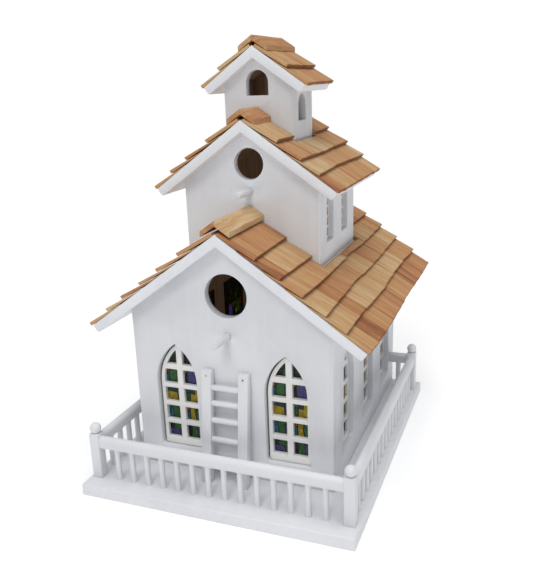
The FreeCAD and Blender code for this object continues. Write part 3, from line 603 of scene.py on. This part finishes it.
barge_paint = satin_paint("barge_board_white", (0.785, 0.80, 0.83), 1, 0.36)
for tier in ("hall", "tower", "belfry"):
    hollow_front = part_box(f"{tier}_front_wall")[1].y
    hollow_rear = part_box(f"{tier}_rear_wall")[0].y
    for side in ("left", "right"):
        board = copy_of(f"{tier}_roof_{side}")
        hollow_x = min(abs(c.x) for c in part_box(f"{tier}_{side}_wall"))
        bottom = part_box(f"{tier}_roof_{side}")[0].z
        pick_edges(board, lambda a, b: max(a.z, b.z) < bottom + 0.0004
                   and abs(a.y - b.y) > 0.05)
        bpy.ops.mesh.bevel(offset=0.0024, segments=4, affect="EDGES", clamp_overlap=True)
        bpy.ops.object.mode_set(mode="OBJECT")
        sharp_edges(board, lambda a, b: abs(a.x) > 0.0003 or abs(b.x) > 0.0003)
        bpy.ops.mesh.bevel(offset=0.0007, segments=2, affect="EDGES", clamp_overlap=True)
        for at, across in (((0, hollow_front, 0), (0, 1, 0)), ((0, hollow_rear, 0), (0, 1, 0)),
                           ((-hollow_x, 0, 0), (1, 0, 0)), ((hollow_x, 0, 0), (1, 0, 0))):
            bpy.ops.mesh.select_all(action="SELECT")
            bpy.ops.mesh.bisect(plane_co=at, plane_no=across)
        bpy.ops.object.mode_set(mode="OBJECT")
        ease(board, 0)
        board.data.materials.append(barge_paint)
        # Undersides inside the tiers are bare wood with the faint painted light.
        board.data.materials.append(sawn_deep)
        for face in board.data.polygons:
            inside = (hollow_front < face.center.y < hollow_rear
                      and abs(face.center.x) < hollow_x and face.normal.z < -0.3)
            face.material_index = int(inside)
        finished(board, "white_paint", "house", f"{tier}_roof_{side}")

# ---- Cedar shakes
# Thin wedges split from cedar, each of its own width and tint, laid in courses from the eave
# up. Every course hides the thin upper ends of the one below, and its own butts stand proud.

cedar = bpy.data.materials.new("split_cedar")
cedar.use_nodes = True
tree = cedar.node_tree
shader = tree.nodes["Principled BSDF"]
grain_at = add(tree, "ShaderNodeUVMap", {"uv_map": "grain"}).outputs["UV"]
shake_facts = add(tree, "ShaderNodeAttribute", {"attribute_name": "shake"})
facts = add(tree, "ShaderNodeSeparateColor", Color=shake_facts.outputs["Color"])
sway = add(tree, "ShaderNodeTexNoise", Vector=grain_at, Scale=22, Detail=1)
swayed = add(tree, "ShaderNodeVectorMath", {"operation": "MULTIPLY_ADD"})
tree.links.new(sway.outputs["Color"], swayed.inputs[0])
swayed.inputs[1].default_value = (0.007, 0, 0)
tree.links.new(grain_at, swayed.inputs[2])
long_grain = add(tree, "ShaderNodeMapping", Vector=swayed.outputs[0],
                 Scale=(1, 0.045, 1)).outputs["Vector"]
fibres = add(tree, "ShaderNodeTexNoise", Vector=long_grain, Scale=1100, Detail=3, Roughness=0.6)
rings = add(tree, "ShaderNodeTexNoise", Vector=long_grain, Scale=330, Detail=3, Roughness=0.6)
bands = add(tree, "ShaderNodeTexNoise", Vector=long_grain, Scale=95, Detail=2, Roughness=0.5)
knots = add(tree, "ShaderNodeTexVoronoi", {"feature": "F1"}, Vector=grain_at, Scale=11)
knot = ramp(tree, knots.outputs["Distance"], [(0.02, (1, 1, 1)), (0.035, (0, 0, 0))])
sum_one = add(tree, "ShaderNodeMath", {"operation": "MULTIPLY_ADD"},
              _0=bands.outputs["Fac"], _1=1.1, _2=facts.outputs["Red"])
sum_two = add(tree, "ShaderNodeMath", {"operation": "MULTIPLY_ADD"},
              _0=rings.outputs["Fac"], _1=1.35, _2=sum_one.outputs[0])
sum_all = add(tree, "ShaderNodeMath", {"operation": "MULTIPLY_ADD"},
              _0=fibres.outputs["Fac"], _1=0.7, _2=sum_two.outputs[0])
scaled = add(tree, "ShaderNodeMath", {"operation": "MULTIPLY_ADD"}, _0=sum_all.outputs[0],
             _1=0.5, _2=-0.285)
wood = ramp(tree, scaled.outputs[0], [(0.40, (0.64, 0.475, 0.28)), (0.56, (0.55, 0.34, 0.158)),
                                      (0.72, (0.52, 0.265, 0.118)), (0.90, (0.39, 0.165, 0.07)),
                                      (1.0, (0.26, 0.09, 0.038))])
# Painted shade: each shake is darkened on its butt face and along the edge just above it, where the
# butt's own shadow falls.
butt_painted_shade = ramp(tree, facts.outputs["Blue"], [(0.975, (1, 1, 1)), (0.998, (0.52, 0.36, 0.29))])
toned = add(tree, "ShaderNodeMix", {"data_type": "RGBA", "blend_type": "MULTIPLY"}, Factor=1.0)
tree.links.new(wood, toned.inputs[6])
tree.links.new(butt_painted_shade, toned.inputs[7])
check_grain = add(tree, "ShaderNodeMapping", Vector=swayed.outputs[0], Location=(3.1, 1.7, 0),
                  Scale=(1, 0.07, 1)).outputs["Vector"]
checks = add(tree, "ShaderNodeTexNoise", Vector=check_grain, Scale=380, Detail=2, Roughness=0.55)
checked = ramp(tree, checks.outputs["Fac"], [(0.24, (0.45, 0.30, 0.22)), (0.36, (1, 1, 1)),
                                             (0.64, (1, 1, 1)), (0.78, (1.0, 0.80, 0.62))])
streaked = add(tree, "ShaderNodeMix", {"data_type": "RGBA", "blend_type": "MULTIPLY"}, Factor=0.85)
tree.links.new(toned.outputs[2], streaked.inputs[6])
tree.links.new(checked, streaked.inputs[7])
knotted = add(tree, "ShaderNodeMix", {"data_type": "RGBA"}, Factor=knot)
tree.links.new(streaked.outputs[2], knotted.inputs[6])
knotted.inputs[7].default_value = (0.20, 0.07, 0.025, 1)
tree.links.new(knotted.outputs[2], shader.inputs["Base Color"])
relief = add(tree, "ShaderNodeMath", {"operation": "MULTIPLY_ADD"},
             _0=rings.outputs["Fac"], _1=0.7, _2=fibres.outputs["Fac"])
split = add(tree, "ShaderNodeBump", Strength=0.55, Distance=0.0006, Height=relief.outputs[0])
tree.links.new(split.outputs["Normal"], shader.inputs["Normal"])
shader.inputs["Roughness"].default_value = 0.72
shader.inputs["Specular IOR Level"].default_value = 0.3

SLOPE = math.radians(35.2)
BUTT, THIN_END, RIDGE_THIN = 0.0036, 0.0008, 0.0030
RIDGE_START, HIDDEN = 0.002, 0.018
SPLIT_WIDTHS = (0.021, 0.027, 0.034, 0.041, 0.049, 0.057)
TINTS = (0.0, 0.1, 0.25, 0.4, 0.55)
SHAKE_GAP = 0.00035
WALL_GAP = 0.0005


def split_blank():
    """A shake one unit across, long and thick, cut into strips and rows to be shaped."""
    bpy.ops.mesh.primitive_cube_add(size=1, location=(0.5, 0.5, 0.5))
    blank = bpy.context.object
    bpy.ops.object.transform_apply(location=True, rotation=True, scale=True)
    pick_edges(blank, lambda a, b: abs(a.x - b.x) > 0.5)
    bpy.ops.mesh.subdivide(number_cuts=7)
    bpy.ops.object.mode_set(mode="OBJECT")
    pick_edges(blank, lambda a, b: abs(a.y - b.y) > 0.5)
    bpy.ops.mesh.subdivide(number_cuts=4)
    bpy.ops.object.mode_set(mode="OBJECT")
    for point in blank.data.vertices:
        point.co.y = 1 - (1 - point.co.y) ** 1.8
    for layer in list(blank.data.uv_layers):
        blank.data.uv_layers.remove(layer)
    blank.data.uv_layers.new(name="grain")
    blank.data.attributes.new("shake", "FLOAT_COLOR", "POINT")
    return blank


blank_shake = split_blank()


def cut_shake(place, across, along, tint, dice):
    """A copy of the blank put in place, with its grain and tint written on it."""
    mesh = blank_shake.data.copy()
    grain_x, grain_y = dice.uniform(0, 5), dice.uniform(0, 5)
    tag = mesh.attributes["shake"].data
    chance = dice.random()
    grain = []
    for i, point in enumerate(mesh.vertices):
        u, v, w = point.co
        grain.append((grain_x + u * across + (1 - w) * 0.004, grain_y + v * along))
        # The third value is how far along the shake each point lies; the cedar paints shade at the
        # butt from it.
        tag[i].color = (tint, chance, v, 1)
        point.co = place(u, v, w)
    for loop, uv in zip(mesh.loops, mesh.uv_layers["grain"].data):
        uv.uv = grain[loop.vertex_index]
    shake = bpy.data.objects.new("shake", mesh)
    bpy.context.collection.objects.link(shake)
    return shake


def nail_down(shakes, name, *nodes):
    """Joins one slope's shakes, turns their faces outwards and takes their edges off."""
    slope = joined(shakes, name)
    bpy.ops.object.mode_set(mode="EDIT")
    bpy.ops.mesh.select_all(action="SELECT")
    bpy.ops.mesh.normals_make_consistent(inside=False)
    bpy.ops.object.mode_set(mode="OBJECT")
    ease(slope, 0.0002, 1, 40)
    bpy.ops.object.shade_smooth_by_angle(angle=math.radians(22))
    slope.data.materials.append(cedar)
    return finished(slope, "cedar", "house", *nodes)


def widths_between(low, high, wanted, dice):
    """Shake widths that fill a run: random ones, or the wanted ones with the last one cut."""
    run = high - low
    widths = list(wanted)
    while sum(widths) < run - 0.016:
        widths.append(dice.choice(SPLIT_WIDTHS))
    if not wanted:
        spare = run / sum(widths)
        return [w * spare for w in widths]
    kept, total = [], 0.0
    for width in widths:
        if total + width > run - 0.012:
            break
        kept.append(width)
        total += width
    return kept + [run - total]


def shingle_slope(tier, side, butts, seed, above=None, planned=()):
    """Lays one slope course by course, round the tier above it, from the ridge to the eave."""
    dice = random.Random(seed)
    roof_low, roof_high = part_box(f"{tier}_roof_{side}")
    hand = 1 if side == "right" else -1
    front, rear, apex = roof_low.y, roof_high.y, roof_high.z
    wall = None
    if above:
        wall_low, wall_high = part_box(f"{above}_{side}_wall")
        wall_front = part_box(f"{above}_front_wall")[0].y - WALL_GAP
        wall_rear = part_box(f"{above}_rear_wall")[1].y + WALL_GAP
        wall = (max(abs(wall_low.x), abs(wall_high.x)) + WALL_GAP) / math.cos(SLOPE)
    count = len(butts)
    starts = [RIDGE_START] + [butt - HIDDEN for butt in butts[:-1]]
    thin = [RIDGE_THIN] + [THIN_END] * (count - 1)
    rests = [0.0003] * count
    for c in reversed(range(count - 1)):
        below = c + 1
        part = (butts[c] - starts[below]) / (butts[below] - starts[below])
        rests[c] = (thin[below] + part * (rests[below] + BUTT - thin[below])) + 0.0004
    shakes = []
    for c, (butt, start) in enumerate(zip(butts, starts)):
        sweep = 0.0003 if c == count - 1 else 0.0009
        runs = [(front, rear, start, False)]
        if wall and start < wall:
            runs = [(front, wall_front, start, False), (wall_rear, rear, start, False)]
            if wall < butt - 0.004:
                runs.insert(1, (wall_front, wall_rear, wall, True))
        for run_low, run_high, run_start, scribed in runs:
            plan = planned[c] if planned and run_low == front else ()
            tints = [tint for width, tint in plan]
            at = run_low
            widths = widths_between(run_low, run_high, [width for width, tint in plan], dice)
            for n, width in enumerate(widths):
                tint = tints[n] if n < len(tints) else dice.choice(TINTS)
                tint += dice.uniform(-0.04, 0.04)
                low, high = at + SHAKE_GAP, at + width - SHAKE_GAP
                at += width
                slip = dice.uniform(-0.0004, 0.0005)
                skew = dice.uniform(-0.0005, 0.0005)
                thick = BUTT + dice.uniform(-0.0004, 0.0004)
                phase = dice.uniform(0, math.tau)
                rock = dice.uniform(0, 0.0004)

                def lay(u, v, w):
                    """A point of this shake, from its place across, along and through it."""
                    y = low + (high - low) * u
                    wave = sweep * math.sin(y * 31 + c * 1.9) + 0.0002 * math.sin(y * 230 + phase)
                    end = butt + slip + skew * (u - 0.5) * 2 + wave
                    s = run_start + (end - run_start) * v
                    share = (s - start) / (butt - start)
                    under = share * rests[c] + rock * v
                    top = thin[c] + share * (rests[c] + thick - thin[c])
                    top += 0.00015 * math.sin(u * 9 + phase)
                    h = under + (top - under) * w
                    if scribed:
                        s -= h * math.tan(SLOPE) * (v - 1)
                    x = hand * (s * math.cos(SLOPE) + h * math.sin(SLOPE))
                    return Vector((x, y, apex - s * math.sin(SLOPE) + h * math.cos(SLOPE)))

                shakes.append(cut_shake(lay, width, butt - run_start, tint, dice))
    nail_down(shakes, f"{tier}_shakes_{side}", f"{tier}_shingles_{side}")


HALL_BUTTS = [0.044, 0.075, 0.1003, 0.1258, 0.1512, 0.1782]
TOWER_BUTTS = [0.0435, 0.072, 0.0943, 0.1205]
BELFRY_BUTTS = [0.0425, 0.0688]
shingle_slope("hall", "left", HALL_BUTTS, 11, "tower")
HALL_RIGHT = [
    [(0.088, 0.55)],
    [(0.021, 0.7), (0.067, 0.1)],
    [(0.080, 0.35), (0.032, 0.4), (0.066, 0.6), (0.030, 0.02)],
    [(0.036, 0.05), (0.055, 0.6), (0.048, 0.5), (0.054, 0.45), (0.060, 0.12), (0.072, 0.65)],
    [(0.046, 0.2), (0.023, 0.6), (0.040, 0.0), (0.050, 0.15), (0.042, 0.1), (0.056, 0.0)],
    [(0.029, 0.25), (0.031, 0.85), (0.034, 0.35), (0.062, 0.55), (0.060, 0.3), (0.060, 0.7)],
]
shingle_slope("hall", "right", HALL_BUTTS, 12, "tower", HALL_RIGHT)
shingle_slope("tower", "left", TOWER_BUTTS, 13, "belfry")
TOWER_RIGHT = [
    [(0.060, 0.08)],
    [(0.034, 0.45), (0.038, 0.2), (0.080, 0.35)],
    [(0.045, 0.05), (0.030, 0.15), (0.080, 0.3)],
    [(0.022, 0.65), (0.040, 0.12), (0.080, 0.4)],
]
shingle_slope("tower", "right", TOWER_BUTTS, 14, "belfry", TOWER_RIGHT)
shingle_slope("belfry", "left", BELFRY_BUTTS, 15)
BELFRY_RIGHT = [[(0.045, 0.15), (0.060, 0.3)], [(0.035, 0.25), (0.060, 0.4)]]
shingle_slope("belfry", "right", BELFRY_BUTTS, 16, None, BELFRY_RIGHT)

# ---- Ridge caps
# Two narrow cedar boards nailed over each ridge in an inverted V, in front of and behind the
# tier that straddles it. Their lower edges are plumb, and the hollow under them is open.

CAP_TALL, CAP_REACH, CAP_GAP = 0.0052, 0.0148, 0.0004


def cap_boards(tier, runs, peak, tints):
    """Pairs of cap boards over one roof's ridge, their top edge that far above the boards."""
    dice = random.Random(f"{tier} caps")
    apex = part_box(f"{tier}_roof_left")[1].z
    boards = []
    for y_low, y_high in runs:
        for hand, tint in zip((-1, 1), tints):
            reach = CAP_REACH + dice.uniform(-0.0005, 0.0006)
            slant = dice.uniform(-0.0004, 0.0004)
            fall = math.tan(SLOPE - math.radians(dice.uniform(0, 2)))

            def lay(u, v, w):
                wander = slant * (v - 0.5) + 0.0002 * math.sin(v * 5 + hand)
                x = (reach + wander) * u
                z = apex + peak - CAP_TALL * (1 - w) - x * fall
                return Vector((hand * x, y_low + (y_high - y_low) * v, z))

            boards.append(cut_shake(lay, reach, y_high - y_low, tint, dice))
    caps = nail_down(boards, f"{tier}_cap_boards", f"{tier}_ridge_caps")
    # The caps get a middle value there, so none of the painted shade at the butts.
    for point in caps.data.attributes["shake"].data:
        point.color = (point.color[0], point.color[1], 0.5, 1)


for tier, above, peak, tints in (("hall", "tower", 0.0127, (0.5, 0.0)),
                                 ("tower", "belfry", 0.0105, (0.5, 0.35)),
                                 ("belfry", None, 0.0101, (0.3, 0.4))):
    low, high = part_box(f"{tier}_ridge_caps")
    front, rear = low.y + 0.001, high.y - 0.001
    runs = [(front, rear)]
    if above:
        runs = [(front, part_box(f"{above}_front_wall")[0].y - CAP_GAP),
                (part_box(f"{above}_rear_wall")[1].y + CAP_GAP, rear)]
    cap_boards(tier, runs, peak, tints)
bpy.data.objects.remove(blank_shake)

# ---- Perches
# A 7 mm dowel is let through the wall under each round entrance, and painted with it.

for tier in ("hall", "tower"):
    worked(f"{tier}_perch", paint_along_y, 0.0005)

# ---- Ladder
# Two flat stiles lean on the front wall, a nail through the head of each, with five dowels
# between them. It was painted before it was nailed on, and the nail heads are bare.

worked("ladder_stiles", paint_upright, 0.0005)
worked("ladder_rungs", paint_along_x, 0.0003)


def metal(name, colour, scratch, roughness):
    """Plain metal with fine scratches and a little tarnish."""
    material = bpy.data.materials.new(name)
    material.use_nodes = True
    tree = material.node_tree
    shader = tree.nodes["Principled BSDF"]
    place = add(tree, "ShaderNodeTexCoord").outputs["Object"]
    cloud = add(tree, "ShaderNodeTexNoise", Vector=place, Scale=scratch / 6, Detail=3)
    lines = add(tree, "ShaderNodeMapping", Vector=place, Scale=(1, 1, 0.08)).outputs["Vector"]
    drawn = add(tree, "ShaderNodeTexNoise", Vector=lines, Scale=scratch * 3, Detail=2)
    dull = [c * 0.55 for c in colour]
    tint = ramp(tree, cloud.outputs["Fac"], [(0.35, dull), (0.6, colour)])
    tree.links.new(tint, shader.inputs["Base Color"])
    shine = add(tree, "ShaderNodeMapRange", Value=cloud.outputs["Fac"])
    shine.inputs["To Min"].default_value = roughness + 0.2
    shine.inputs["To Max"].default_value = roughness - 0.05
    tree.links.new(shine.outputs[0], shader.inputs["Roughness"])
    bump = add(tree, "ShaderNodeBump", Strength=0.15, Distance=0.0001,
               Height=drawn.outputs["Fac"])
    tree.links.new(bump.outputs["Normal"], shader.inputs["Normal"])
    shader.inputs["Metallic"].default_value = 1.0
    return material


steel = metal("zinc_plated_steel", (0.52, 0.53, 0.55), 900, 0.35)
worked("ladder_nails", steel, 0.0002, "steel")

# ---- Clean-out door
# The lower back of the hall opens on two brass butt hinges, by a turned knob. A wooden button
# on one screw holds it shut.

brass = metal("brass", (0.72, 0.52, 0.22), 700, 0.28)
worked("clean_out_door", paint_upright, 0.0006)
worked("hinge_leaves_wall", brass, 0.00025, "brass")
worked("hinge_leaves_door", brass, 0.00025, "brass")
worked("hinge_pins", brass, 0.0002, "brass")
worked("door_knob", brass, 0.0003, "brass")
worked("turn_button", paint_along_x, 0.0006)
worked("turn_button_screw", steel, 0.0002, "steel")

# ---- Swing cover
# A pear-shaped cover hangs from one screw over the hole in the tower's back.

worked("tower_cover", paint_upright, 0.0006)
worked("tower_cover_screw", steel, 0.0002, "steel")

# ---- Studio
# A pale floor, a broad soft lamp overhead, a smaller one in front, and even air round it all.

bpy.ops.mesh.primitive_plane_add(size=30, location=(0, 0, -0.0003))
floor = bpy.context.object
floor.name = "studio_floor"
floor_paint = bpy.data.materials.new("studio_floor_white")
floor_paint.use_nodes = True
shader = floor_paint.node_tree.nodes["Principled BSDF"]
shader.inputs["Base Color"].default_value = (0.93, 0.93, 0.93, 1)
shader.inputs["Roughness"].default_value = 0.9
shader.inputs["Emission Color"].default_value = (1, 1, 1, 1)
shader.inputs["Emission Strength"].default_value = 0.16
floor.data.materials.append(floor_paint)

air = bpy.data.worlds.new("studio_air")
air.use_nodes = True
tree = air.node_tree
lit = tree.nodes["Background"]
lit.inputs["Color"].default_value = (0.97, 0.98, 1.0, 1)
lit.inputs["Strength"].default_value = 0.32
seen = add(tree, "ShaderNodeBackground", Color=(1, 1, 1, 1), Strength=1.0)
sight = add(tree, "ShaderNodeLightPath")
either = add(tree, "ShaderNodeMixShader", _0=sight.outputs["Is Camera Ray"],
             _1=lit.outputs[0], _2=seen.outputs[0])
tree.links.new(either.outputs[0], tree.nodes["World Output"].inputs["Surface"])
bpy.context.scene.world = air

for name, strength, spread, heading in (("high_soft_lamp", 1.6, 50, (-0.12, 0.16, -1)),
                                        ("front_lamp", 0.62, 20, (-0.05, 0.74, -0.67))):
    sun = bpy.data.lights.new(name, "SUN")
    sun.energy = strength
    sun.angle = math.radians(spread)
    lamp = bpy.data.objects.new(name, sun)
    bpy.context.collection.objects.link(lamp)
    lamp.rotation_euler = Vector(heading).to_track_quat("-Z", "Y").to_euler()

# ---- Camera
# A little above the eaves and to the right of the front, turned down and slightly rolled.

YAW, PITCH, ROLL = math.radians(21.769), math.radians(16.969), math.radians(-2.090)
back = Vector((math.sin(YAW) * math.cos(PITCH), -math.cos(YAW) * math.cos(PITCH),
               math.sin(PITCH)))
right = Vector((math.cos(YAW), math.sin(YAW), 0))
up = back.cross(right)
tilted_right = right * math.cos(ROLL) + up * math.sin(ROLL)
tilted_up = up * math.cos(ROLL) - right * math.sin(ROLL)
eye = bpy.data.cameras.new("camera")
eye.lens = 42.85
eye.clip_start = 0.01
camera = bpy.data.objects.new("camera", eye)
bpy.context.collection.objects.link(camera)
turned = Matrix((tilted_right, tilted_up, back)).transposed().to_4x4()
camera.matrix_world = Matrix.Translation((0.27513, -0.69314, 0.40526)) @ turned
bpy.context.scene.camera = camera
bpy.context.scene.view_settings.view_transform = "Standard"
